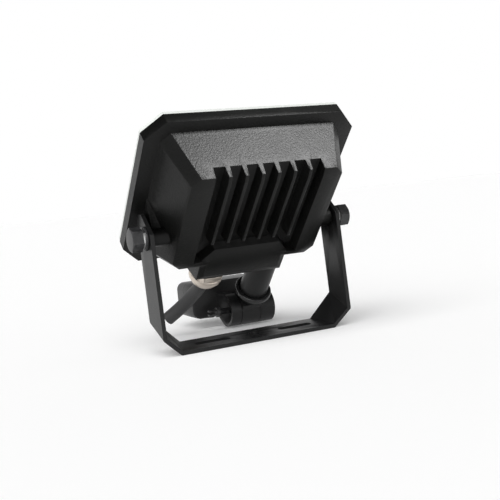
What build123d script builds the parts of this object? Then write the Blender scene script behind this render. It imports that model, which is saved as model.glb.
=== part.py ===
from build123d import *
from math import cos, radians, sin, tan
import os

os.makedirs("parts", exist_ok=True)

# A small LED floodlight with a motion sensor, on its folded steel bracket.
# Everything is in millimetres. +Z is up and the light's front faces -Y. The origin is in the middle
# of the bracket's centre hole, on the underside of its base.
# The lamp and the neck are drawn upright, about the axis of the two pivot bolts, and leant back as
# they are written. The sensor head is drawn level, about the axis of its clamp screw.

# Pose and main places
tilt = 44.8                 # the lamp leans back by this much, in degrees
pivot_height = 61.03        # pivot bolts above the centre hole's mouth

# Lamp outline, from the pivot axis
lamp_half_width = 60.0
lamp_above = 62.5
lamp_below = 35.5
corner_across = 10.3        # the flange's cut corners, across
corner_rise = 10.8          # and up
flange_back = 16.75         # back of the flange, in front of the pivot axis
flange_depth = 6.5

# Rear hump of the housing
hump_inset = 8.4            # its sides, inside the flange's edge
hump_above = 55.6
hump_below = 27.0
side_narrowing = 8.8        # its sides draw in by this much at its rear face
rear_above = 47.85
rear_below = 16.2
rear_corner = 4.6
hump_corner = (5.0, 6.1)    # at the back of the flange, across and up
shoulder = 10.1             # rear outline, behind the pivot axis
rear_face = 10.9            # rear face inside its shallow bevel
bevel_width = 4.5
wall = 3.3

# Cooling fins
fin_count = 6
fin_pitch = 9.1
slot_width = 7.3
slot_floor = 4.1            # slots end here, behind the pivot axis
slot_draft = 3.0            # degrees
fin_end = 0.7               # lower end of the fins, above the pivot axis
slot_end = -12.8

# Wiring block under the fins
block_top = -4.8
block_top_half = 19.5
block_shoulder = -12.5
block_half_width = 26.0
block_bottom = -27.5
block_flare = 5.0           # wider on each side where it meets the flange
block_bevel = 3.5
block_bevel_depth = 1.3
block_wall = 3.5
pocket_wall = 2.5           # behind the wiring pocket
pocket_side = 1.5
pocket_front = 16.0
pocket_height = 11.0

# Front glass and its seal
glass_thickness = 1.9
glass_margin = 0.3
seal_width = 2.6
seal_margin = 1.2           # flange edge to the seal
seal_groove = 1.0
seal_proud = 0.3
mouth_margin = 5.0          # flange edge to the housing's mouth
mouth_depth = 3.2

# Light source
board_thickness = 1.6
board_inset = 4.8           # board's sides, inside the rear face's
board_top = 44.0
board_bottom = -14.0
board_corner = 2.0
floor_wall = 3.1            # housing between its inner floor and the slots
window_inset = 11.0         # reflector's window, inside the board's sides
window_top = 38.0
window_bottom = -8.0
reflector_wall = 1.2
reflector_fit = 0.4         # gap all round the reflector
reflector_gap = 0.1         # over the board
chip_size = (3.5, 2.8, 0.7)
chip_count_across = 4
chip_count_up = 3
chip_pitch = 11.5
screw_radius = 1.5
screw_head_radius = 2.75
screw_head_height = 1.7
screw_depth = 2.4
screw_inset = 4.0           # from the board's edges
driver_block = (4.0, 5.0)
driver_can = 2.4
driver_height = 1.9
driver_blocks = [(-1, 5.0), (-1, 14.0), (1, 8.0)]     # side of the board, height above the pivot
driver_cans = [(-1, 24.0), (1, 20.0), (1, 27.0)]
terminal_size = (17.0, 9.0, 10.0)
terminal_hole = (1.8, 4.0)  # radius, depth
terminal_count = 3

# Bracket
strap_width = 18.4
strap = 2.2                 # thickness
arm_setback = 5.7           # inner face of an arm, inside the flange's edge
arm_lean = 3.5              # the arms' feet stand back by this much, in degrees
arm_shift = -1.2            # middle of an arm's top, behind the pivot axis
arm_top = 12.6              # above the pivot axis
arm_cut = 10.6              # slanted cut at the back of an arm's top
arm_round = 4.0             # rounded front corner of an arm's top
fold_front = 17.0           # an arm ends this high at its front edge
fold_rear = 9.0             # and at its rear edge
base_slope = 7.3            # the base slopes down to the rear, in degrees
corner_run = 13.8           # base's front corner, inside the arm's inner face
slot_place = 25.1
slot_length = 21.0
slot_across = 4.6
centre_hole_radius = 3.2

# Pivot bolts and washers
bolt_radius = 3.0
bolt_fit = 0.08             # radial clearance in the arm's hole
bolt_head_flats = 11.7
bolt_head_height = 5.9
bolt_crown = 0.7            # the head's chamfer
bolt_face = 5.55            # radius of the head's flat end
bolt_reach = 10.0           # thread inside the boss
left_head_turn = 24.8
right_head_turn = 50.5
washer_gap = 0.3            # arm to washer
flat_washer = (6.4, 1.0)    # radius, thickness
spring_washer = (5.2, 1.3)
spring_split = 1.0
boss_radius = 4.8
boss_gap = 0.3              # boss to arm
boss_root = 11.2            # it begins this far inside the hump's side
thread_gap = 0.5            # bolt's end to the bottom of its bore
gusset_rise = 12.0
gusset_root = 1.0
gusset_inset = 1.5

# Cable and gland
cable_radius = 4.0
gland_x = 15.0
gland_thread = 8.0
gland_flats = 18.6
gland_hex = 4.0
gland_washer_height = 1.0
nut_radius = 9.6
nut_rim = -36.7             # widest rim of the nut
nut_end = -41.5
nut_mouth_radius = 4.35
nut_thread = 7.5
nut_thread_length = 5.5
nut_gap = 0.3               # nut to hexagon
nut_edge = 0.6              # rounding of the nut's rims
nut_dome = 8.0
nut_lip = 0.8
seal_radius = 6.5
seal_length = 5.0
seal_bore = 4.02
gland_bore = 4.6
gland_end = 1.5             # threads end this far inside the pocket

# The cable's route in the lamp's upright frame, from inside the gland to its cut end
cable_route = [
    (15.0, 0.0, -31.0),
    (15.0, 0.0, -44.5),
    (17.0, -3.6, -56.5),
    (21.6, -4.2, -67.5),
    (28.6, -4.6, -77.0),
]

# Neck of the sensor
neck_x = -20.4
neck_radius = 8.3
neck_gasket = 0.8
gasket_inset = 0.2
neck_edge = 0.4             # chamfer of the neck's upper rim
neck_end = -54.9
neck_thread = 4.0
neck_wire_bore = 2.5
pan_bore = 5.5
pan_fit = 0.08              # radial clearance of the pan joint
pan_reach = 11.5
pan_end_gap = 1.0           # pilot's end to the end of its bore
pan_cone = 1.5              # the bore narrows to the wires' hole
pilot_edge = 0.5
collar_radius = 10.9
collar_bottom = -57.0
collar_height = 3.0
collar_lip = 0.9
collar_round = 0.9
swivel_gap = 0.3            # between faces that turn past each other
disc_radius = 7.9
stem_radius = 6.6
ring_groove = 0.9
ring_place = 7.0            # top of the ring's groove above the neck's end
ring_fit = 0.01
eye_crown = 0.4             # the stem ends this far above the eye
wire_depth = 3.0            # wires' hole, short of the stem's end

# Knuckle, across from the lamp's middle, and its clamp screw
knuckle_drop = 72.4         # pivot axis to the clamp screw
knuckle_radius = 9.8
eye_from = -25.2
eye_to = -13.0
barrel_from = -35.0
barrel_to = -6.2
clamp_radius = 1.9
clamp_fit = 0.08
clamp_head = (3.1, 2.2)     # radius, height
clamp_standoff = 4.0        # the head stands off the barrel
clamp_stub = (1.9, 5.0)     # its slotted end beyond the head
stub_slot = (1.4, 3.8)      # width, depth
cup_radius = 8.7            # dished end of the barrel
cup_depth = 3.0
nut_flats = 7.0
nut_height = 3.0

# Sensor head, from the clamp screw's axis
head_middle = -15.5
head_half_width = 25.0
head_bottom = -4.5
head_top = 17.5
head_back = 12.5
head_split = 27.0
head_front = 40.0
head_wall = 2.0
head_corner = 5.0
head_inner_corner = 1.0     # smallest corner of its inside
head_edge = 1.0             # chamfer round its back
front_round = 2.0
ear_sink = 0.5              # the ears reach this far into the back
ear_lift = 1.0              # their lower edge above the head's bottom
ear_angle = 25.0            # and round the barrel, in degrees
front_taper = 1.6
window_wide = 37.0
window_high = 15.0
window_lift = 6.5           # middle of the window above the clamp screw
window_corner = 4.0
window_fit = 0.2
lens_wall = 1.0
lens_flange = 1.2
lens_rim = (3.0, 2.0)       # flange wider and higher than the window
lens_mouth = 2.6            # its opening, smaller than the window
lens_mouth_corner = 3.0
sensor_board_thick = 1.6
sensor_board_half = 18.0
sensor_board_low = 2.4
sensor_board_high = 15.0
sensor_board_setback = 4.0  # its back behind the joint of the two shells
sensor_screw = (1.0, 2.0, 1.3)     # thread radius, head radius, head height
post_radius = 2.2
post_spread = 14.0
post_lift = 9.0
can_radius = 4.6
can_height = 4.4
can_round = 0.6
can_window = (3.0, 4.0)
can_window_depth = 0.3
dial_radius = 3.0
dial_fit = 0.3
dial_proud = 0.8
dial_height = 2.4
dial_slot = (0.9, 4.5, 0.8)        # width, length, depth
dial_count = 3
dial_spread = 12.0
dial_back = 19.5
spindle_radius = 1.2
spindle_fit = 0.06
spindle_length = 2.6
pot_size = (8.5, 7.0)
pot_height = 4.0

# Places that follow from the sizes above
hump_half_width = lamp_half_width - hump_inset
rear_half_width = hump_half_width - side_narrowing
board_half_width = rear_half_width - board_inset
window_half_width = board_half_width - window_inset
flange_front = flange_back + flange_depth
seal_front = flange_front + seal_proud
inner_floor = slot_floor - floor_wall
board_front = board_thickness - inner_floor
mouth_floor = flange_front - mouth_depth
arm_inside = lamp_half_width - arm_setback
base_half = arm_inside - corner_run
boss_end = arm_inside - boss_gap
boss_start = hump_half_width - boss_root
gusset_start = rear_half_width + gusset_root
gusset_end = boss_end - gusset_inset
tray_half = hump_half_width - wall - reflector_fit
tray_above = hump_above - wall - reflector_fit
tray_below = hump_below - wall - reflector_fit
narrowing = (flange_back + inner_floor) / (flange_back + shoulder)
floor_half = hump_half_width - narrowing * (hump_half_width - rear_half_width) - wall
floor_above = hump_above - narrowing * (hump_above - rear_above) - wall
floor_below = hump_below - narrowing * (hump_below - rear_below) - wall
arm_outside = arm_inside + strap
washer_start = arm_outside + washer_gap
spring_start = washer_start + flat_washer[1]
head_start = spring_start + spring_washer[1]
body_hex_bottom = block_bottom - gland_washer_height - gland_hex
board_back = head_split - sensor_board_setback
board_face = board_back + sensor_board_thick
head_lift = pivot_height - knuckle_drop * cos(radians(tilt))
head_forward = knuckle_drop * sin(radians(tilt))

lamp_place = Location((0, 0, pivot_height), (-tilt, 0, 0))
head_place = Location((0, -head_forward, head_lift))


def write(piece, name, place=Location()):
    """Puts a finished piece in its place, labels it and writes its file."""
    piece.part.label = name
    placed = piece.part.moved(place)
    placed.label = name
    export_step(placed, f"parts/{name}.step")


def octagon(half_width, above, below, across, up, mode=Mode.ADD):
    """An upright rectangle with cut corners, about the pivot axis."""
    Polygon(
        (-half_width, -below + up),
        (-half_width + across, -below),
        (half_width - across, -below),
        (half_width, -below + up),
        (half_width, above - up),
        (half_width - across, above),
        (-half_width + across, above),
        (-half_width, above - up),
        align=None,
        mode=mode,
    )


def flange_outline(margin, mode=Mode.ADD):
    """The flange's octagon, smaller all round by the margin."""
    trim = 0.42 * margin
    octagon(
        lamp_half_width - margin,
        lamp_above - margin,
        lamp_below - margin,
        corner_across - trim,
        corner_rise - trim,
        mode,
    )


def upright(y):
    """A drawing plane that faces the front, y in front of the axis."""
    return Plane.XZ.offset(y)


def block_outline(half_width, top_half, top, low_shoulder, bottom):
    """The wiring block seen from behind."""
    Polygon(
        (-half_width, bottom),
        (half_width, bottom),
        (half_width, low_shoulder),
        (top_half, top),
        (-top_half, top),
        (-half_width, low_shoulder),
        align=None,
    )


# Bracket: one strap of steel with two arms, two slanted corners and a base. Its four folds are
# oblique, so the arms lean and the base slopes down to the rear. Each plate is drawn on its inner
# face, and each fold is its end turned about the fold line.
half = strap_width / 2


def arm_edge(side, z):
    """Place of the arm's front (-1) or rear (1) edge at a height."""
    middle = arm_shift + (pivot_height - z) * tan(radians(arm_lean))
    return middle + side * half / cos(radians(arm_lean))


def fold(start, end, normal, angle):
    """A bend: the strap's end face from start to end, turned about that line."""
    end_plane = Plane(origin=start, x_dir=end - start, z_dir=(end - start).cross(normal))
    with BuildSketch(end_plane) as end_face:
        Rectangle((end - start).length, strap, align=(Align.MIN, Align.MAX))
    revolve(end_face.sketch, axis=Axis(start, end - start), revolution_arc=angle)


base_cos = cos(radians(base_slope))
base_sin = sin(radians(base_slope))
base_top = Plane(
    origin=(0, strap * base_sin, strap * base_cos),
    x_dir=(1, 0, 0),
    z_dir=(0, base_sin, base_cos),
)
arm_end = pivot_height + arm_top
arm_front = Vector(arm_inside, arm_edge(-1, fold_front), fold_front)
arm_rear = Vector(arm_inside, arm_edge(1, fold_rear), fold_rear)
base_front = base_top.from_local_coords(Vector(base_half, -half, 0))
base_edge = base_top.from_local_coords(Vector(0, half, 0))
corner_up = (arm_rear - arm_front).cross(base_front - arm_front).normalized()
base_rear = base_edge + Vector(corner_up.dot(arm_front - base_edge) / corner_up.X, 0, 0)
corner_face = Plane(origin=arm_front, x_dir=arm_rear - arm_front, z_dir=corner_up)
with BuildPart() as bracket:
    with BuildSketch(base_top):
        right = [base_top.to_local_coords(point) for point in (base_front, base_rear)]
        Polygon(*[(p.X, p.Y) for p in right], *[(-p.X, p.Y) for p in reversed(right)], align=None)
        with Locations((-slot_place, 0), (slot_place, 0)):
            SlotOverall(slot_length, slot_across, mode=Mode.SUBTRACT)
        Circle(centre_hole_radius, mode=Mode.SUBTRACT)
    extrude(amount=-strap)
    with BuildSketch(corner_face):
        quad = [corner_face.to_local_coords(p) for p in (arm_front, arm_rear, base_rear, base_front)]
        Polygon(*[(p.X, p.Y) for p in quad], align=None)
    extrude(amount=-strap)
    with BuildSketch(Plane.YZ.offset(arm_inside)):
        Polygon(
            (arm_front.Y, arm_front.Z),
            (arm_rear.Y, arm_rear.Z),
            (arm_edge(1, arm_end - arm_cut), arm_end - arm_cut),
            (arm_edge(1, arm_end) - arm_cut, arm_end),
            (arm_edge(-1, arm_end), arm_end),
            align=None,
        )
    extrude(amount=strap)
    fold(arm_front, arm_rear, Vector(-1, 0, 0), corner_up.get_angle(Vector(-1, 0, 0)))
    fold(base_front, base_rear, corner_up, corner_up.get_angle(base_top.z_dir))
    top_corners = bracket.edges().filter_by(Axis.X).group_by(Axis.Z)[-1].sort_by(Axis.Y)
    fillet(top_corners[0], arm_round)
    mirror(about=Plane.YZ)
    with BuildSketch(Plane.YZ):
        with Locations((0, pivot_height)):
            Circle(bolt_radius + bolt_fit)
    extrude(amount=arm_outside, both=True, mode=Mode.SUBTRACT)
write(bracket, "bracket")

# Housing: one die casting. A flange, a tapered hump with seven slots, a wiring block and pivot bosses.
with BuildPart() as housing:
    with BuildSketch(upright(flange_back)):
        octagon(lamp_half_width, lamp_above, lamp_below, corner_across, corner_rise)
    extrude(amount=flange_depth)
    with BuildSketch(upright(flange_back)):
        octagon(hump_half_width, hump_above, hump_below, *hump_corner)
    with BuildSketch(upright(-shoulder)):
        octagon(rear_half_width, rear_above, rear_below, rear_corner, rear_corner)
    loft()
    with BuildSketch(upright(-shoulder)):
        octagon(rear_half_width, rear_above, rear_below, rear_corner, rear_corner)
    with BuildSketch(upright(-rear_face)):
        octagon(
            rear_half_width - bevel_width,
            rear_above - bevel_width,
            rear_below - bevel_width / 3,
            rear_corner,
            rear_corner,
        )
    loft()
    slots_half = (fin_count + 1) * fin_pitch / 2 - (fin_pitch - slot_width) / 2
    with BuildSketch(upright(-rear_face)):
        slot_middle = (lamp_above + slot_end) / 2
        with Locations((0, slot_middle)):
            with GridLocations(fin_pitch, 1, fin_count + 1, 1):
                Rectangle(slot_width, lamp_above - slot_end)
        with Locations((0, (fin_end + slot_end) / 2)):
            Rectangle(2 * slots_half, fin_end - slot_end)
    extrude(amount=rear_face - slot_floor, taper=slot_draft, mode=Mode.SUBTRACT)
    with BuildSketch(upright(flange_back)):
        block_outline(
            block_half_width + block_flare, block_top_half, block_top, block_shoulder, block_bottom
        )
    with BuildSketch(upright(block_bevel_depth - rear_face)):
        block_outline(block_half_width, block_top_half, block_top, block_shoulder, block_bottom)
    loft()
    with BuildSketch(upright(block_bevel_depth - rear_face)):
        block_outline(block_half_width, block_top_half, block_top, block_shoulder, block_bottom)
    with BuildSketch(upright(-rear_face)):
        block_outline(
            block_half_width - block_bevel,
            block_top_half - block_bevel / 2,
            block_top - block_bevel,
            block_shoulder - block_bevel / 2,
            block_bottom + block_bevel,
        )
    loft()
    for side in (-1, 1):
        with BuildSketch(Plane.YZ.offset(side * boss_start)):
            Circle(boss_radius)
        extrude(amount=side * (boss_end - boss_start))
        with BuildSketch(Plane.YZ.offset(side * gusset_start)):
            Polygon(
                (-flange_back, gusset_rise),
                (-0.5 * boss_radius, 0.6 * boss_radius),
                (-0.5 * boss_radius, 0),
                (-flange_back, 0),
                align=None,
            )
        extrude(amount=side * (gusset_end - gusset_start))
    with BuildSketch(upright(flange_front)):
        flange_outline(mouth_margin)
    extrude(amount=-mouth_depth, mode=Mode.SUBTRACT)
    with BuildSketch(upright(flange_front)):
        flange_outline(seal_margin)
        flange_outline(seal_margin + seal_width, Mode.SUBTRACT)
    extrude(amount=-seal_groove, mode=Mode.SUBTRACT)
    with BuildSketch(upright(mouth_floor)):
        octagon(
            hump_half_width - wall,
            hump_above - wall,
            hump_below - wall,
            rear_corner,
            rear_corner,
        )
    with BuildSketch(upright(-inner_floor)):
        octagon(floor_half, floor_above, floor_below, rear_corner, rear_corner)
    loft(mode=Mode.SUBTRACT)
    pocket_half = block_half_width - pocket_side
    pocket_floor = block_bottom + block_wall
    with BuildSketch(Plane.XY.offset(pocket_floor)):
        pocket_back = rear_face - pocket_wall
        with Locations((0, (pocket_back - pocket_front) / 2)):
            Rectangle(2 * pocket_half, pocket_back + pocket_front)
    extrude(amount=pocket_height, mode=Mode.SUBTRACT)
    with BuildSketch(Plane.XY.offset(block_bottom)):
        with Locations((gland_x, 0)):
            Circle(gland_thread)
        with Locations((neck_x, 0)):
            Circle(neck_thread)
    extrude(amount=block_wall, mode=Mode.SUBTRACT)
    for side in (-1, 1):
        with BuildSketch(Plane.YZ.offset(side * boss_end)):
            Circle(bolt_radius)
        extrude(amount=-side * bolt_reach, mode=Mode.SUBTRACT)
    board_screw_x = board_half_width - screw_inset
    board_screw_z = [board_top - screw_inset, board_bottom + screw_inset]
    with BuildSketch(upright(-inner_floor)):
        with Locations(*[(x, z) for x in (-board_screw_x, board_screw_x) for z in board_screw_z]):
            Circle(screw_radius)
    extrude(amount=-screw_depth, mode=Mode.SUBTRACT)
write(housing, "housing", lamp_place)

# Front glass and its seal: a clear plate over the whole front, bonded on a rubber frame.
with BuildPart() as front_glass:
    with BuildSketch(upright(seal_front)):
        flange_outline(glass_margin)
    extrude(amount=glass_thickness)
write(front_glass, "front_glass", lamp_place)

with BuildPart() as glass_seal:
    with BuildSketch(upright(flange_front - seal_groove)):
        flange_outline(seal_margin)
        flange_outline(seal_margin + seal_width, Mode.SUBTRACT)
    extrude(amount=seal_groove + seal_proud)
write(glass_seal, "glass_seal", lamp_place)

# LED board on the housing's inner floor, held by four screws, with its LEDs and driver parts.
board_middle = (board_top + board_bottom) / 2
window_middle = (window_top + window_bottom) / 2
board_screw_places = [(x, z) for x in (-board_screw_x, board_screw_x) for z in board_screw_z]
with BuildPart() as led_board:
    with BuildSketch(upright(-inner_floor)):
        with Locations((0, board_middle)):
            RectangleRounded(2 * board_half_width, board_top - board_bottom, board_corner)
        with Locations(*board_screw_places):
            Circle(screw_radius, mode=Mode.SUBTRACT)
    extrude(amount=board_thickness)
write(led_board, "led_board", lamp_place)

with BuildPart() as led_chips:
    with BuildSketch(upright(board_front)):
        with Locations((0, window_middle)):
            with GridLocations(chip_pitch, chip_pitch, chip_count_across, chip_count_up):
                Rectangle(chip_size[0], chip_size[1])
    extrude(amount=chip_size[2])
write(led_chips, "led_chips", lamp_place)

with BuildPart() as board_screws:
    with BuildSketch(upright(board_front)):
        with Locations(*board_screw_places):
            Circle(screw_head_radius)
    extrude(amount=screw_head_height)
    with BuildSketch(upright(board_front)):
        with Locations(*board_screw_places):
            Circle(screw_radius)
    extrude(amount=-(board_thickness + screw_depth))
write(board_screws, "board_screws", lamp_place)

driver_x = (board_half_width + window_half_width + reflector_wall) / 2
with BuildPart() as driver_parts:
    with BuildSketch(upright(board_front)):
        with Locations(*[(side * driver_x, z) for side, z in driver_blocks]):
            Rectangle(*driver_block)
        with Locations(*[(side * driver_x, z) for side, z in driver_cans]):
            Circle(driver_can)
    extrude(amount=driver_height)
write(driver_parts, "driver_parts", lamp_place)

# Reflector: a thin white tray from the housing's mouth down to the LEDs.
with BuildPart() as reflector:
    with BuildSketch(upright(mouth_floor)):
        flange_outline(mouth_margin + reflector_fit)
    extrude(amount=reflector_wall)
    with BuildSketch(upright(mouth_floor)):
        octagon(tray_half, tray_above, tray_below, rear_corner, rear_corner)
    with BuildSketch(upright(board_front + reflector_gap)):
        octagon(
            window_half_width + reflector_wall,
            window_top + reflector_wall,
            -window_bottom + reflector_wall,
            rear_corner,
            rear_corner,
        )
    loft()
    with BuildSketch(upright(mouth_floor + reflector_wall)):
        octagon(
            tray_half - reflector_wall,
            tray_above - reflector_wall,
            tray_below - reflector_wall,
            rear_corner,
            rear_corner,
        )
    with BuildSketch(upright(board_front + reflector_gap)):
        octagon(window_half_width, window_top, -window_bottom, rear_corner, rear_corner)
    loft(mode=Mode.SUBTRACT)
write(reflector, "reflector", lamp_place)

# Terminal block that joins the cable to the board, standing on the floor of the wiring pocket.
terminal_x = (gland_x - gland_thread + neck_x + neck_thread) / 2
with BuildPart() as terminal_block:
    with BuildSketch(Plane.XY.offset(pocket_floor)):
        with Locations((terminal_x, 0)):
            Rectangle(terminal_size[0], terminal_size[1])
    extrude(amount=terminal_size[2])
    with BuildSketch(Plane.XY.offset(pocket_floor + terminal_size[2])):
        with Locations((terminal_x, 0)):
            with GridLocations(terminal_size[0] / terminal_count, 1, terminal_count, 1):
                Circle(terminal_hole[0])
    extrude(amount=-terminal_hole[1], mode=Mode.SUBTRACT)
write(terminal_block, "terminal_block", lamp_place)

# Pivot bolts and washers. A bolt passes through the arm and screws into the housing's boss.
head_radius = bolt_head_flats / 2 / cos(radians(30))
head_end = head_start + bolt_head_height
for side, side_name, turn in ((1, "left", left_head_turn), (-1, "right", right_head_turn)):
    with BuildPart() as pivot_bolt:
        with BuildSketch(Plane.YZ.offset(side * head_start)):
            RegularPolygon(head_radius, 6, rotation=turn)
        extrude(amount=side * bolt_head_height)
        with BuildSketch(Plane.XZ):
            Polygon(
                (side * head_start, 0),
                (side * head_start, head_radius),
                (side * (head_end - bolt_crown), head_radius),
                (side * head_end, bolt_face),
                (side * head_end, 0),
                align=None,
            )
        revolve(axis=Axis.X, mode=Mode.INTERSECT)
        with BuildSketch(Plane.YZ.offset(side * head_start)):
            Circle(bolt_radius)
        extrude(amount=-side * (head_start - boss_end + bolt_reach - thread_gap))
    write(pivot_bolt, f"pivot_bolt_{side_name}", lamp_place)

    with BuildPart() as washer:
        with BuildSketch(Plane.YZ.offset(side * washer_start)):
            Circle(flat_washer[0])
            Circle(bolt_radius, mode=Mode.SUBTRACT)
        extrude(amount=side * flat_washer[1])
    write(washer, f"flat_washer_{side_name}", lamp_place)

    with BuildPart() as lock_washer:
        with BuildSketch(Plane.YZ.offset(side * spring_start)):
            Circle(spring_washer[0])
            Circle(bolt_radius, mode=Mode.SUBTRACT)
            with Locations((0, spring_washer[0])):
                Rectangle(spring_split, 2 * spring_washer[0] - bolt_radius, mode=Mode.SUBTRACT)
        extrude(amount=side * spring_washer[1])
    write(lock_washer, f"spring_washer_{side_name}", lamp_place)

# Cable gland: washer, body with its hexagon and thread, rubber seal and domed nut.
gland_axis = Location((gland_x, 0, 0))
with BuildPart() as gland_washer:
    with BuildSketch(Plane.XY.offset(block_bottom)):
        with Locations((gland_x, 0)):
            Circle(gland_flats / 2)
            Circle(gland_thread, mode=Mode.SUBTRACT)
    extrude(amount=-gland_washer_height)
write(gland_washer, "gland_washer", lamp_place)

thread_end = body_hex_bottom - nut_thread_length
seal_top = thread_end + seal_length
gland_top = block_bottom + block_wall + gland_end
with BuildPart() as gland_body:
    with BuildSketch(Plane.XY.offset(body_hex_bottom)):
        with Locations((gland_x, 0)):
            RegularPolygon(gland_flats / 2, 6, major_radius=False)
    extrude(amount=gland_hex)
    with BuildSketch(Plane.XY.offset(body_hex_bottom + gland_hex)):
        with Locations((gland_x, 0)):
            Circle(gland_thread)
    extrude(amount=gland_top - body_hex_bottom - gland_hex)
    with BuildSketch(Plane.XY.offset(body_hex_bottom)):
        with Locations((gland_x, 0)):
            Circle(nut_thread)
    extrude(amount=thread_end - body_hex_bottom)
    with BuildSketch(Plane.XY.offset(thread_end)):
        with Locations((gland_x, 0)):
            Circle(gland_bore)
    extrude(amount=gland_top - thread_end, mode=Mode.SUBTRACT)
    with BuildSketch(Plane.XY.offset(thread_end)):
        with Locations((gland_x, 0)):
            Circle(seal_radius)
    extrude(amount=seal_top - thread_end, mode=Mode.SUBTRACT)
write(gland_body, "gland_body", lamp_place)

with BuildPart() as gland_seal:
    with BuildSketch(Plane.XY.offset(seal_top)):
        with Locations((gland_x, 0)):
            Circle(seal_radius)
            Circle(seal_bore, mode=Mode.SUBTRACT)
    extrude(amount=thread_end - seal_top)
write(gland_seal, "gland_seal", lamp_place)

with BuildPart() as gland_nut:
    with BuildSketch(Plane.XZ):
        with BuildLine():
            nut_top = body_hex_bottom - nut_gap
            dome_start = (nut_radius - nut_edge, nut_rim)
            dome_end = (nut_mouth_radius + nut_lip, nut_end)
            Polyline(
                (nut_thread, nut_top),
                (nut_radius - nut_edge, nut_top),
                (nut_radius, nut_top - nut_edge),
                (nut_radius, nut_rim + nut_edge),
                dome_start,
            )
            RadiusArc(dome_start, dome_end, nut_dome)
            Polyline(
                dome_end,
                (nut_mouth_radius, nut_end),
                (nut_mouth_radius, thread_end - 2 * nut_lip),
                (nut_thread, thread_end),
                (nut_thread, nut_top),
            )
        make_face()
    revolve(axis=Axis.Z)
write(gland_nut, "gland_nut", lamp_place * gland_axis)

# Cable: straight runs joined by arcs as large as the runs allow.
runs = [Vector(*b) - Vector(*a) for a, b in zip(cable_route, cable_route[1:])]
radii = []
for before, after in zip(runs, runs[1:]):
    half_turn = radians(before.get_angle(after)) / 2
    radii.append(0.45 * min(before.length, after.length) / tan(half_turn))
with BuildPart() as cable:
    with BuildLine() as cable_path:
        FilletPolyline(*cable_route, radius=radii)
    with BuildSketch(Plane(origin=cable_route[0], z_dir=runs[0])):
        Circle(cable_radius)
    sweep()
write(cable, "cable", lamp_place)
print("cable radii", [round(radius, 1) for radius in radii])
print("cable length", round(sum(edge.length for edge in cable_path.edges()), 1))

# Neck: a hollow stub screwed into the wiring block on a gasket, with the collar on its lower end.
neck_top = block_bottom - neck_gasket
collar_top = collar_bottom + collar_height
lip_top = collar_bottom + collar_lip
neck_axis = Location((neck_x, 0, 0))
with BuildPart() as neck_washer:
    with BuildSketch(Plane.XY.offset(block_bottom)):
        Circle(neck_radius - gasket_inset)
        Circle(neck_thread, mode=Mode.SUBTRACT)
    extrude(amount=-neck_gasket)
write(neck_washer, "neck_gasket", lamp_place * neck_axis)

with BuildPart() as neck:
    with BuildSketch(Plane.XZ):
        Polygon(
            (neck_wire_bore, gland_top),
            (neck_thread, gland_top),
            (neck_thread, neck_top),
            (neck_radius - neck_edge, neck_top),
            (neck_radius, neck_top - neck_edge),
            (neck_radius, neck_end),
            (pan_bore, neck_end),
            (pan_bore, neck_end + pan_reach + pan_end_gap),
            (neck_wire_bore, neck_end + pan_reach + pan_end_gap + pan_cone),
            align=None,
        )
    revolve(axis=Axis.Z)
write(neck, "neck", lamp_place * neck_axis)

with BuildPart() as neck_collar:
    with BuildSketch(Plane.XZ) as collar_section:
        Polygon(
            (neck_radius, collar_top),
            (collar_radius, collar_top),
            (collar_radius, collar_bottom),
            (stem_radius + swivel_gap, collar_bottom),
            (stem_radius + swivel_gap, lip_top),
            (neck_radius, lip_top),
            align=None,
        )
        rims = collar_section.vertices().group_by(Axis.X)[-1]
        fillet(rims, collar_round)
    revolve(axis=Axis.Z)
write(neck_collar, "neck_collar", lamp_place * neck_axis)

# Knuckle: it turns in the neck, and its eye holds the clamp screw of the sensor head.
disc_top = neck_end - swivel_gap
disc_bottom = lip_top + swivel_gap
stem_end = knuckle_radius + eye_crown - knuckle_drop
pilot_radius = pan_bore - pan_fit
groove_top = neck_end + ring_place
with BuildPart() as knuckle:
    with BuildSketch(Plane.XZ):
        Polygon(
            (0, disc_top + pan_reach),
            (pilot_radius - pilot_edge, disc_top + pan_reach),
            (pilot_radius, disc_top + pan_reach - pilot_edge),
            (pilot_radius, groove_top),
            (pilot_radius - ring_groove, groove_top),
            (pilot_radius - ring_groove, groove_top - 2 * ring_groove),
            (pilot_radius, groove_top - 2 * ring_groove),
            (pilot_radius, disc_top),
            (disc_radius, disc_top),
            (disc_radius, disc_bottom),
            (stem_radius, disc_bottom),
            (stem_radius, stem_end),
            (0, stem_end),
            align=None,
        )
    revolve(axis=Axis.Z)
    with BuildSketch(Plane.YZ.offset(eye_from - neck_x)):
        with Locations((0, -knuckle_drop)):
            Circle(knuckle_radius)
        with Locations((0, (stem_end - knuckle_drop) / 2)):
            Rectangle(2 * stem_radius, stem_end + knuckle_drop)
    extrude(amount=eye_to - eye_from)
    with BuildSketch(Plane.YZ.offset(eye_from - neck_x)):
        with Locations((0, -knuckle_drop)):
            Circle(clamp_radius + clamp_fit)
    extrude(amount=eye_to - eye_from, mode=Mode.SUBTRACT)
    with BuildSketch(Plane.XY.offset(disc_top + pan_reach)):
        Circle(neck_wire_bore)
    extrude(amount=stem_end - disc_top - pan_reach + wire_depth, mode=Mode.SUBTRACT)
write(knuckle, "knuckle", lamp_place * neck_axis)

with BuildPart() as neck_ring:
    with BuildSketch(Plane.XZ):
        with Locations((pilot_radius - ring_groove / 2, groove_top - ring_groove)):
            Circle(ring_groove / 2 - ring_fit)
    revolve(axis=Axis.Z)
write(neck_ring, "neck_o_ring", lamp_place * neck_axis)

# Sensor head: a rear shell whose two ears clamp the knuckle, a front shell, and what they hold.
head_height = head_top - head_bottom
head_centre = (head_top + head_bottom) / 2


def head_outline(inset):
    """The sensor head seen from the front, smaller all round by the inset."""
    corner = max(head_corner - inset, head_inner_corner)
    with Locations((head_middle, head_centre)):
        RectangleRounded(2 * (head_half_width - inset), head_height - 2 * inset, corner)


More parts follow.
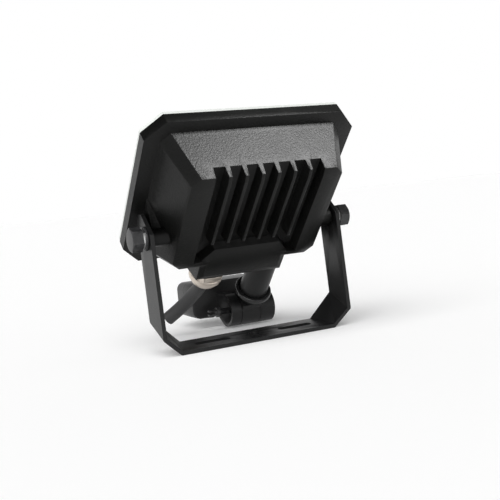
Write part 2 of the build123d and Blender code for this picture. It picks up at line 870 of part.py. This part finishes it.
with BuildPart() as rear_shell:
    with BuildSketch(upright(head_back)):
        head_outline(0)
    extrude(amount=head_split - head_back)
    back_rim = rear_shell.faces().sort_by(Axis.Y)[-1].edges()
    chamfer(back_rim, head_edge)
    with BuildSketch(upright(head_back + head_wall)):
        head_outline(head_wall)
    extrude(amount=head_split - head_back - head_wall, mode=Mode.SUBTRACT)
    for ear_from, ear_to in ((barrel_from, eye_from - swivel_gap), (eye_to + swivel_gap, barrel_to)):
        with BuildSketch(Plane.YZ.offset(ear_from)):
            Circle(knuckle_radius)
            Polygon(
                (0, knuckle_radius),
                (-head_back - ear_sink, knuckle_radius),
                (-head_back - ear_sink, head_bottom + ear_lift),
                (-knuckle_radius * sin(radians(ear_angle)), -knuckle_radius * cos(radians(ear_angle))),
                (0, 0),
                align=None,
            )
        extrude(amount=ear_to - ear_from)
    with BuildSketch(Plane.YZ.offset(barrel_from)):
        Circle(clamp_radius)
    extrude(amount=barrel_to - barrel_from, mode=Mode.SUBTRACT)
    with BuildSketch(Plane.YZ.offset(barrel_to)):
        Circle(cup_radius)
    with BuildSketch(Plane.YZ.offset(barrel_to - cup_depth)):
        Circle(clamp_head[0])
    loft(mode=Mode.SUBTRACT)
    with BuildSketch(Plane.YZ.offset(barrel_from)):
        RegularPolygon(nut_flats / 2, 6, major_radius=False)
    extrude(amount=nut_height, mode=Mode.SUBTRACT)
    with BuildSketch(upright(head_back + head_wall)):
        with Locations((head_middle - post_spread, post_lift), (head_middle + post_spread, post_lift)):
            Circle(post_radius)
    extrude(amount=board_back - head_back - head_wall)
    with BuildSketch(Plane.XY.offset(head_bottom)):
        with Locations((head_middle, -dial_back)):
            with GridLocations(dial_spread, 1, dial_count, 1):
                Circle(dial_radius + dial_fit)
    extrude(amount=head_wall, mode=Mode.SUBTRACT)
write(rear_shell, "sensor_rear_shell", head_place)

with BuildPart() as clamp_screw:
    with BuildSketch(Plane.YZ.offset(barrel_to + clamp_standoff)):
        Circle(clamp_head[0])
    extrude(amount=clamp_head[1])
    stub_start = barrel_to + clamp_standoff + clamp_head[1]
    with BuildSketch(Plane.YZ.offset(stub_start)):
        Circle(clamp_stub[0])
    extrude(amount=clamp_stub[1])
    with BuildSketch(Plane.YZ.offset(stub_start + clamp_stub[1])):
        Rectangle(2 * clamp_head[0], stub_slot[0])
    extrude(amount=-stub_slot[1], mode=Mode.SUBTRACT)
    with BuildSketch(Plane.YZ.offset(barrel_to + clamp_standoff)):
        Circle(clamp_radius)
    extrude(amount=barrel_from - barrel_to - clamp_standoff)
write(clamp_screw, "clamp_screw", head_place)

with BuildPart() as clamp_nut:
    with BuildSketch(Plane.YZ.offset(barrel_from)):
        RegularPolygon(nut_flats / 2, 6, major_radius=False)
        Circle(clamp_radius, mode=Mode.SUBTRACT)
    extrude(amount=nut_height)
write(clamp_nut, "clamp_nut", head_place)

front_depth = head_front - head_split
with BuildPart() as front_shell:
    with BuildSketch(upright(head_split)):
        head_outline(0)
    extrude(amount=front_depth, taper=front_taper)
    front_rim = front_shell.faces().sort_by(Axis.Y)[0].edges()
    fillet(front_rim, front_round)
    with BuildSketch(upright(head_split)):
        head_outline(head_wall)
    extrude(amount=front_depth - head_wall, mode=Mode.SUBTRACT)
    with BuildSketch(upright(head_split)):
        with Locations((head_middle, window_lift)):
            RectangleRounded(window_wide, window_high, window_corner)
    extrude(amount=front_depth, mode=Mode.SUBTRACT)
write(front_shell, "sensor_front_shell", head_place)

# Lens: a thin curved window of white plastic, with a flange behind the front shell.
lens_seat = head_front - head_wall
lens_radius = window_high / 2 - window_fit
with BuildPart() as lens:
    with BuildSketch(Plane.YZ.offset(head_middle)):
        with Locations((-lens_seat, window_lift)):
            Circle(lens_radius)
            Rectangle(lens_radius, 2 * lens_radius, align=(Align.MIN, Align.CENTER), mode=Mode.SUBTRACT)
    extrude(amount=window_wide / 2 - window_fit, both=True)
    ends = lens.edges().filter_by(GeomType.CIRCLE)
    fillet(ends, window_corner)
    with BuildSketch(Plane.YZ.offset(head_middle)):
        with Locations((-lens_seat, window_lift)):
            Circle(lens_radius - lens_wall)
            Rectangle(lens_radius, 2 * lens_radius, align=(Align.MIN, Align.CENTER), mode=Mode.SUBTRACT)
    extrude(amount=window_wide / 2 - window_fit - lens_wall, both=True, mode=Mode.SUBTRACT)
    with BuildSketch(upright(lens_seat - lens_flange)):
        with Locations((head_middle, window_lift)):
            RectangleRounded(window_wide + lens_rim[0], window_high + lens_rim[1], window_corner)
            RectangleRounded(
                window_wide - lens_mouth, window_high - lens_mouth, lens_mouth_corner, mode=Mode.SUBTRACT
            )
    extrude(amount=lens_flange)
write(lens, "sensor_lens", head_place)

with BuildPart() as sensor_board:
    with BuildSketch(upright(board_back)):
        with Locations((head_middle, (sensor_board_low + sensor_board_high) / 2)):
            Rectangle(2 * sensor_board_half, sensor_board_high - sensor_board_low)
        with Locations((head_middle - post_spread, post_lift), (head_middle + post_spread, post_lift)):
            Circle(sensor_screw[0], mode=Mode.SUBTRACT)
    extrude(amount=sensor_board_thick)
write(sensor_board, "sensor_board", head_place)

with BuildPart() as sensor_board_screws:
    with BuildSketch(upright(board_face)):
        with Locations((head_middle - post_spread, post_lift), (head_middle + post_spread, post_lift)):
            Circle(sensor_screw[1])
    extrude(amount=sensor_screw[2])
    with BuildSketch(upright(board_face)):
        with Locations((head_middle - post_spread, post_lift), (head_middle + post_spread, post_lift)):
            Circle(sensor_screw[0])
    extrude(amount=-sensor_board_thick)
write(sensor_board_screws, "sensor_board_screws", head_place)

with BuildPart() as detector:
    with BuildSketch(upright(board_face)):
        with Locations((head_middle, window_lift)):
            Circle(can_radius)
    extrude(amount=can_height)
    fillet(detector.faces().sort_by(Axis.Y)[0].edges(), can_round)
    with BuildSketch(upright(board_face + can_height)):
        with Locations((head_middle, window_lift)):
            Rectangle(*can_window)
    extrude(amount=-can_window_depth, mode=Mode.SUBTRACT)
write(detector, "infrared_detector", head_place)

# Adjusters: three small potentiometers on the floor of the rear shell, each with a slotted dial.
pot_floor = head_bottom + head_wall
dial_places = [head_middle - dial_spread, head_middle, head_middle + dial_spread]
with BuildPart() as potentiometers:
    with BuildSketch(Plane.XY.offset(pot_floor)):
        with Locations(*[(x, -dial_back) for x in dial_places]):
            Rectangle(*pot_size)
    extrude(amount=pot_height)
    with BuildSketch(Plane.XY.offset(pot_floor)):
        with Locations(*[(x, -dial_back) for x in dial_places]):
            Circle(spindle_radius + spindle_fit)
    extrude(amount=pot_height, mode=Mode.SUBTRACT)
write(potentiometers, "potentiometers", head_place)

for dial_x, dial_name in zip(dial_places, ("light", "time", "range")):
    with BuildPart() as dial:
        with BuildSketch(Plane.XY.offset(head_bottom - dial_proud)):
            Circle(dial_radius)
        extrude(amount=dial_height)
        with BuildSketch(Plane.XY.offset(head_bottom - dial_proud)):
            Rectangle(dial_slot[0], dial_slot[1])
        extrude(amount=dial_slot[2], mode=Mode.SUBTRACT)
        with BuildSketch(Plane.XY.offset(head_bottom - dial_proud + dial_height)):
            Circle(spindle_radius)
        extrude(amount=spindle_length)
    write(dial, f"dial_{dial_name}", head_place * Location((dial_x, -dial_back, 0)))
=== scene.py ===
import math

import bmesh
import bpy
from mathutils import Matrix, Vector


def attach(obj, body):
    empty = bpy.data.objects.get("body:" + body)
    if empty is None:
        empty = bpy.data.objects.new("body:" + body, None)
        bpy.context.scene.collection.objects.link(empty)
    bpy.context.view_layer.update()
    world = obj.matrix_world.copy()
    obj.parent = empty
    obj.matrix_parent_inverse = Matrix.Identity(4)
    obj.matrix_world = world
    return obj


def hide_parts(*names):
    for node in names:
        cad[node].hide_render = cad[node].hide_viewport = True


# A small LED floodlight with a motion sensor, standing on its folded bracket and seen from behind.
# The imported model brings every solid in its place, in metres.
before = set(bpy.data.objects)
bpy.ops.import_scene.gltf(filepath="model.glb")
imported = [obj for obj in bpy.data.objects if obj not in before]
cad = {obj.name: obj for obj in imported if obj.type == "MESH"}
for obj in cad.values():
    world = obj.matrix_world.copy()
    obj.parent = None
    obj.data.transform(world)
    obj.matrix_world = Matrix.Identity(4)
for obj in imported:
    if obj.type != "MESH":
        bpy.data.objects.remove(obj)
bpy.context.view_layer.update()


# The camera stands behind the light, a little to its left and a little above it, as in the
# photograph, and is slightly rolled. It looks through a long lens.
look_right = Vector((-0.89707, 0.43001, -0.10173))
look_up = Vector((-0.12035, -0.01625, 0.99260))
look_back = Vector((0.42518, 0.90268, 0.06633))
camera_data = bpy.data.cameras.new("camera")
camera_data.sensor_width = 36.0
camera_data.lens = 62.94
camera_data.clip_start = 0.01
camera_place = Vector((0.20121, 0.43275, 0.07982))
camera = bpy.data.objects.new("camera", camera_data)
bpy.context.scene.collection.objects.link(camera)
turn = Matrix((look_right, look_up, look_back)).transposed().to_4x4()
camera.matrix_world = Matrix.Translation(camera_place) @ turn
bpy.context.scene.camera = camera


# Each finish is one procedural material. Its patterns are read from the object's own coordinates,
# which are metres, so that a grain of half a millimetre is as large on every piece.
class Term:
    """A value in a node tree, on which Python's operators add Math nodes."""

    def __init__(self, tree, socket):
        self.tree = tree
        self.socket = socket

    def math(self, operation, *values):
        node = self.tree.nodes.new("ShaderNodeMath")
        node.operation = operation
        for plug, value in zip(node.inputs, values):
            if isinstance(value, Term):
                self.tree.links.new(value.socket, plug)
            else:
                plug.default_value = value
        return Term(self.tree, node.outputs[0])

    def __add__(self, other):
        return self.math("ADD", self, other)

    def __radd__(self, other):
        return self.math("ADD", other, self)

    def __sub__(self, other):
        return self.math("SUBTRACT", self, other)

    def __rsub__(self, other):
        return self.math("SUBTRACT", other, self)

    def __mul__(self, other):
        return self.math("MULTIPLY", self, other)

    def __rmul__(self, other):
        return self.math("MULTIPLY", other, self)

    def __truediv__(self, other):
        return self.math("DIVIDE", self, other)

    def above(self, level, softness=0.1):
        """0 below the level, 1 above it, with a soft step between."""
        share = (self - (level - softness / 2)) / softness
        return share.math("MAXIMUM", share.math("MINIMUM", share, 1.0), 0.0)


class Nodes:
    """A node tree and the shader that its nodes feed. Nodes are added one call at a time."""

    def __init__(self, tree, shader):
        self.tree = tree
        self.shader = tree.nodes[shader]

    def add(self, kind, settings=None, output=0, **plugs):
        """Adds a node: first its settings, then the values or links of its sockets."""
        node = self.tree.nodes.new(kind)
        for name, value in (settings or {}).items():
            if name == "stops":
                for stop, (position, colour) in zip(node.color_ramp.elements, value):
                    stop.position = position
                    stop.color = (*colour, 1.0)
            else:
                setattr(node, name, value)
        for name, value in plugs.items():
            plug = node.inputs[name]
            if isinstance(value, Term):
                self.tree.links.new(value.socket, plug)
            else:
                plug.default_value = value
        return Term(self.tree, node.outputs[output])

    def feed(self, socket, term):
        self.tree.links.new(term.socket, self.shader.inputs[socket])


class Finish(Nodes):
    """A material, with its unvaried values set by the names of its shader's sockets."""

    def __init__(self, name, **shader_values):
        self.material = bpy.data.materials.new(name)
        self.material.use_nodes = True
        super().__init__(self.material.node_tree, "Principled BSDF")
        for name, value in shader_values.items():
            socket = name.replace("_", " ").title().replace("Ior", "IOR")
            self.shader.inputs[socket].default_value = value
        self.place = self.add("ShaderNodeTexCoord", output="Object")

    def noise(self, scale, detail=2.0, stretch=None, roughness=0.5):
        """Noise from 0 to 1, with its scale in grains per metre, drawn out where stretch says so."""
        place = self.place
        if stretch:
            place = self.add("ShaderNodeMapping", Vector=self.place, Scale=stretch)
        return self.add(
            "ShaderNodeTexNoise",
            Vector=place,
            Scale=scale,
            Detail=detail,
            Roughness=roughness,
        )

    def tint(self, mask, dark, light):
        """Base colour between two colours."""
        mixed = self.add(
            "ShaderNodeMix",
            {"data_type": "RGBA"},
            output=2,
            Factor=mask,
        )
        node = mixed.socket.node
        node.inputs[6].default_value = (*dark, 1.0)
        node.inputs[7].default_value = (*light, 1.0)
        self.feed("Base Color", mixed)

    def bump(self, height, depth):
        """Raises the surface by the height times the depth, in metres."""
        self.feed("Normal", self.add("ShaderNodeBump", Height=height, Distance=depth))


# The housing's powder coat has a fine sandy grain. It is satin, and a little duller in patches.
coat = Finish("cast_coat", roughness=0.4, specular_ior_level=0.18)
grain = coat.noise(950.0, 3.0, roughness=0.65)
patches = coat.noise(70.0, 4.0)
coat.tint(patches * 0.7 + grain * 0.3, (0.0030, 0.0031, 0.0030), (0.0080, 0.0082, 0.0076))
coat.feed("Roughness", 0.25 + patches * 0.08 + grain * 0.14)
coat.bump(grain, 0.00014)


# Corners this near in metres are one corner, and a triangle with this area in square metres, or
# more, lies on a flat face.
same_corner = 2e-6
smallest_flat = 3e-5


def softened(node, body, finish, width=0.0003, smooth=35.0):
    """A merged copy of a CAD node with its sharp edges rounded off, in the node's place."""
    shell = bmesh.new()
    shell.from_mesh(cad[node].data)
    bmesh.ops.remove_doubles(shell, verts=shell.verts, dist=same_corner)
    mesh = bpy.data.meshes.new(node + "_finished")
    shell.to_mesh(mesh)
    shell.free()
    for face in mesh.polygons:
        face.use_smooth = face.area < smallest_flat
    mesh.set_sharp_from_angle(angle=math.radians(smooth))
    mesh.materials.append(finish.material)
    piece = bpy.data.objects.new(node + "_finished", mesh)
    bpy.context.scene.collection.objects.link(piece)
    if width:
        rounding = piece.modifiers.new("rounded_edges", "BEVEL")
        rounding.width = width
        rounding.segments = 2
        rounding.limit_method = "ANGLE"
        rounding.angle_limit = math.radians(smooth)
    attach(piece, body)
    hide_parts(node)
    return piece


casting = softened("housing", "lamp", coat, 0.0005)

# The bracket is one strap of steel, folded and powder coated. Its coat is smoother than the
# casting's and catches the light along the strap's edges.
strap_coat = Finish("strap_coat", roughness=0.34, specular_ior_level=0.3)
strap_grain = strap_coat.noise(1900.0, 2.0)
strap_haze = strap_coat.noise(45.0, 3.0)
strap_coat.tint(strap_haze, (0.0045, 0.0046, 0.0048), (0.009, 0.009, 0.0092))
strap_coat.feed("Roughness", 0.30 + strap_haze * 0.14)
strap_coat.bump(strap_grain, 0.00006)
softened("bracket", "bracket", strap_coat, 0.0003)


# The pivot bolts have blackened hexagon heads, with fine turning marks and edges that the spanner
# has rubbed. Under each head lie a bright spring washer and a flat one.
black_steel = Finish("blackened_steel", roughness=0.38, metallic=0.1)
rub = black_steel.noise(420.0, 4.0)
black_steel.tint(rub.above(0.62, 0.3), (0.018, 0.018, 0.019), (0.045, 0.045, 0.046))
black_steel.feed("Roughness", 0.30 + rub * 0.2)
black_steel.bump(black_steel.noise(900.0, 2.0), 0.00003)
zinc = Finish("bright_zinc", roughness=0.25, metallic=1.0)
streaks = zinc.noise(300.0, 3.0, (1.0, 6.0, 6.0))
zinc.tint(streaks, (0.52, 0.52, 0.53), (0.74, 0.74, 0.73))
zinc.feed("Roughness", 0.2 + streaks * 0.2)
for hand in ("left", "right"):
    softened(f"pivot_bolt_{hand}", "lamp", black_steel, 0.0002, 20.0)
    softened(f"flat_washer_{hand}", "lamp", black_steel, 0.0001)
    softened(f"spring_washer_{hand}", "lamp", zinc, 0.0001)


# The cable leaves the gland and bends down and aside. It is a round black sheathed cable, cut off
# square. Its points are the ones that its solid in the model follows, in the lamp's own frame.
pivot_height = 0.06103
lamp_lean = math.radians(44.8)
lamp_frame = Matrix.Translation((0, 0, pivot_height)) @ Matrix.Rotation(-lamp_lean, 4, "X")
cable_route = [
    (0.0150, 0.0, -0.0310),
    (0.0150, 0.0, -0.0445),
    (0.0170, -0.0036, -0.0565),
    (0.0216, -0.0042, -0.0675),
    (0.0286, -0.0046, -0.0770),
]
cable_radius = 0.004
cable_curve = bpy.data.curves.new("cable_sheath", "CURVE")
cable_curve.dimensions = "3D"
cable_curve.bevel_depth = cable_radius
cable_curve.bevel_resolution = 8
cable_curve.resolution_u = 24
cable_curve.use_fill_caps = True
run = cable_curve.splines.new("NURBS")
run.points.add(len(cable_route) - 1)
for point, place in zip(run.points, cable_route):
    point.co = (*(lamp_frame @ Vector(place)), 1.0)
run.order_u = 3
run.use_endpoint_u = True
sheath = Finish("cable_sheath", roughness=0.5)
sheath_haze = sheath.noise(160.0, 3.0)
sheath.tint(sheath_haze, (0.016, 0.016, 0.0165), (0.030, 0.030, 0.0305))
sheath.feed("Roughness", 0.44 + sheath_haze * 0.16)
sheath.bump(sheath.noise(1300.0, 2.0), 0.00005)
cable_curve.materials.append(sheath.material)
cable_piece = bpy.data.objects.new("cable_sheath", cable_curve)
bpy.context.scene.collection.objects.link(cable_piece)
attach(cable_piece, "lamp")
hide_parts("cable")


# The cable gland is turned brass with a satin nickel plate: a hexagon on the lamp's underside and a
# domed nut that squeezes a rubber seal on the cable.
nickel = Finish("nickel_plate", metallic=1.0, roughness=0.3)
turned = nickel.noise(220.0, 4.0)
nickel.tint(turned, (0.58, 0.51, 0.44), (0.72, 0.655, 0.58))
nickel.feed("Roughness", 0.26 + turned * 0.18)
nickel.bump(nickel.noise(1500.0, 2.0), 0.00002)
softened("gland_body", "lamp", nickel, 0.0003)
softened("gland_nut", "lamp", nickel, 0.0002)
rubber = Finish("black_rubber", roughness=0.7)
rubber_haze = rubber.noise(300.0, 3.0)
rubber.tint(rubber_haze, (0.012, 0.012, 0.012), (0.024, 0.024, 0.024))
rubber.feed("Roughness", 0.62 + rubber_haze * 0.2)
for seal in ("gland_washer", "gland_seal", "neck_gasket", "neck_o_ring", "glass_seal"):
    cad[seal].data.materials.clear()
    cad[seal].data.materials.append(rubber.material)


# The sensor's neck, its knuckle and its two shells are moulded in black plastic, with a faint
# spark-eroded texture. The collar that joins neck and knuckle is polished.
moulded = Finish("moulded_black", roughness=0.36, specular_ior_level=0.35)
spark = moulded.noise(1700.0, 2.0)
moulded_haze = moulded.noise(60.0, 3.0)
moulded.tint(moulded_haze, (0.007, 0.007, 0.0072), (0.013, 0.013, 0.0133))
moulded.feed("Roughness", 0.30 + moulded_haze * 0.12 + spark * 0.06)
moulded.bump(spark, 0.00004)
polished = Finish("polished_black", roughness=0.14)
smears = polished.noise(120.0, 4.0)
polished.tint(smears, (0.012, 0.012, 0.0124), (0.020, 0.020, 0.0204))
polished.feed("Roughness", 0.10 + smears * 0.12)
softened("neck", "lamp", moulded, 0.0002)
softened("neck_collar", "lamp", polished, 0.0)
softened("knuckle", "knuckle", moulded, 0.0003)
softened("sensor_rear_shell", "sensor_head", moulded, 0.0003)
softened("sensor_front_shell", "sensor_head", moulded, 0.0003)
softened("clamp_screw", "sensor_head", black_steel, 0.00015)
softened("clamp_nut", "sensor_head", black_steel, 0.00015)


# The sensor's lens is a thin milky window of plastic, curved round the detector. Its flange sits
# behind the opening of the front shell, so only its front shows.
lens_white = Finish("lens_white", roughness=0.4, subsurface_weight=0.15)
milky = lens_white.noise(150.0, 3.0)
lens_white.tint(milky, (0.76, 0.77, 0.77), (0.84, 0.84, 0.83))
lens_white.feed("Roughness", 0.34 + milky * 0.1)
softened("sensor_lens", "sensor_head", lens_white, 0.0)

# Behind the lens a small board carries the heat detector, and three adjusters look out of the
# shell's underside: white dials with a slot for a screwdriver.
solder_mask = Finish("solder_mask", roughness=0.35)
tracks = solder_mask.noise(240.0, 1.0)
solder_mask.tint(tracks.above(0.55, 0.04), (0.70, 0.71, 0.70), (0.80, 0.81, 0.80))
gilt = Finish("gilt_can", metallic=1.0, roughness=0.25)
gilt.tint(gilt.noise(200.0, 3.0), (0.60, 0.55, 0.40), (0.74, 0.70, 0.56))
white_plastic = Finish("white_plastic", roughness=0.42)
pale_haze = white_plastic.noise(90.0, 3.0)
white_plastic.tint(pale_haze, (0.72, 0.72, 0.70), (0.82, 0.82, 0.80))
white_plastic.feed("Roughness", 0.36 + pale_haze * 0.14)
for name in ("light", "time", "range"):
    softened(f"dial_{name}", f"dial_{name}", white_plastic, 0.00015)
for name, finish in (
    ("sensor_board", solder_mask),
    ("led_board", solder_mask),
    ("infrared_detector", gilt),
    ("sensor_board_screws", zinc),
    ("board_screws", zinc),
    ("potentiometers", moulded),
    ("driver_parts", moulded),
    ("terminal_block", white_plastic),
):
    cad[name].data.materials.clear()
    cad[name].data.materials.append(finish.material)


# The reflector is a white moulded tray round the LEDs, and the front is one clear glass plate. The
# plate's edges are ground dull, and from behind they show as a pale line round the housing.
softened("reflector", "lamp", white_plastic, 0.0002)
phosphor = Finish("phosphor", roughness=0.3)
phosphor.tint(phosphor.noise(900.0, 2.0), (0.80, 0.56, 0.08), (0.90, 0.68, 0.14))
cad["led_chips"].data.materials.clear()
cad["led_chips"].data.materials.append(phosphor.material)
glass = Finish("clear_glass", roughness=0.02, transmission_weight=1.0, ior=1.5)
glass.tint(glass.noise(30.0, 2.0), (0.93, 0.96, 0.95), (0.97, 0.98, 0.98))
pane = softened("front_glass", "lamp", glass, 0.0002)
ground = Finish("ground_edge", roughness=0.6)
ground.tint(ground.noise(900.0, 3.0), (0.60, 0.62, 0.60), (0.72, 0.74, 0.71))
pane.data.materials.append(ground.material)
outward = Vector((0, -math.cos(lamp_lean), math.sin(lamp_lean)))
side_on = 0.5
for face in pane.data.polygons:
    if abs(face.normal.dot(outward)) < side_on:
        face.material_index = 1


# The studio is a white table that glows a little and runs out of sight, with a bright surround at its
# horizon and a dim room above. A large soft lamp lights everything but the housing, and a smaller one
# falls on the housing alone and draws the sheen on its slope.
floor_shell = bmesh.new()
bmesh.ops.create_grid(floor_shell, x_segments=1, y_segments=1, size=8.0)
floor_mesh = bpy.data.meshes.new("floor")
floor_shell.to_mesh(floor_mesh)
floor_shell.free()
floor = bpy.data.objects.new("floor", floor_mesh)
bpy.context.scene.collection.objects.link(floor)
lowest_edge = -0.0012
floor.location.z = lowest_edge
paper = Finish("paper", roughness=0.9, specular_ior_level=0.1, emission_strength=0.11)
paper.tint(paper.noise(3.0, 2.0), (0.92, 0.92, 0.92), (0.93, 0.93, 0.93))
floor_mesh.materials.append(paper.material)


middle = Vector((0, 0.036, 0.092))


def lamp_from(name, kind, direction, distance, energy, **settings):
    """A studio lamp that shines from a direction on the housing's middle."""
    lamp_data = bpy.data.lights.new(name, kind)
    lamp_data.energy = energy
    for setting, value in settings.items():
        setattr(lamp_data, setting, value)
    lamp = bpy.data.objects.new(name, lamp_data)
    aim = Vector(direction).normalized()
    turned_to = aim.to_track_quat("Z", "Y").to_matrix().to_4x4()
    lamp.matrix_world = Matrix.Translation(middle + aim * distance) @ turned_to
    bpy.context.scene.collection.objects.link(lamp)
    return lamp


key = lamp_from("key", "SUN", (0.42, 0.52, 0.74), 1.0, 2.9, angle=math.radians(65))
sheen = lamp_from("sheen", "AREA", (-0.46, 0.55, 0.70), 0.7, 8.5, size=0.22)
others = [piece for piece in bpy.data.objects if piece.type in ("MESH", "CURVE") and piece != casting]
for lamp, lit in ((key, others), (sheen, [casting])):
    falls_on = bpy.data.collections.new(lamp.name + "_falls_on")
    for piece in lit:
        falls_on.objects.link(piece)
    lamp.light_linking.receiver_collection = falls_on
world = bpy.data.worlds.new("studio")
world.use_nodes = True
sky = Nodes(world.node_tree, "Background")
gaze = sky.add("ShaderNodeTexCoord", output="Generated")
upward = sky.add("ShaderNodeSeparateXYZ", output="Z", Vector=gaze)
bright_to_dim = [(0.36, (1.0, 1.0, 1.0)), (0.58, (0.06, 0.06, 0.06))]
sky.feed("Color", sky.add("ShaderNodeValToRGB", {"stops": bright_to_dim}, Fac=upward))
bpy.context.scene.world = world
bpy.context.scene.view_settings.view_transform = "Standard"
